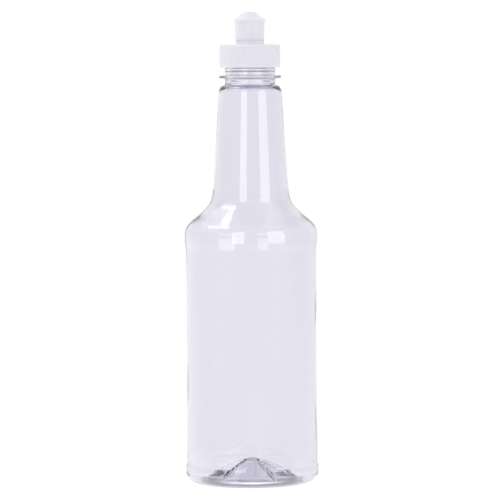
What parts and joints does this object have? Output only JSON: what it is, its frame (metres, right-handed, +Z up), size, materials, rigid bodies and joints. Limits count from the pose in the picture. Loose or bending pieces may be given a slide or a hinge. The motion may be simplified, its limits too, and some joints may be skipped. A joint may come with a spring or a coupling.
{
  "type": "push-pull squeeze bottle",
  "caption": "Clear long-neck quart squeeze bottle with a white ribbed screw closure and a push-pull spout, for sauces and syrups.",
  "frame": {"origin": "middle of the flat standing ring under the bottle", "axes": "+Z up along the bottle's axis towards the spout; +X and +Y lie in the standing plane; the closure's and bottle's threads both start towards +X"},
  "size_m": [0.0836, 0.0836, 0.2969],
  "materials": {
    "clear_pet": "gloss",
    "closure_white": "satin",
    "spout_white": "satin",
    "liner_foam": "matte"
  },
  "bodies": {
    "bottle": {"bottle": "clear_pet"},
    "liner": {"cap_liner": "liner_foam"},
    "cap": {"closure_body": "closure_white"},
    "spout": {"pull_spout": "spout_white"}
  },
  "joints": [
    {"name": "cap_lift", "type": "slide", "parent": "bottle", "child": "liner", "axis": [0, 0, 1], "range_m": [0, 0.0053]},
    {"name": "cap_unscrew", "type": "hinge", "parent": "liner", "child": "cap", "pos_m": [0, 0, 0.2688], "axis": [0, 0, 1], "range_deg": [0, 450]},
    {"name": "spout_pull", "type": "slide", "parent": "cap", "child": "spout", "axis": [0, 0, 1], "range_m": [0, 0.006]}
  ],
  "couplings": [
    {"joint": "cap_lift", "follows": "cap_unscrew", "m_per_rad": 0.0006737}
  ]
}
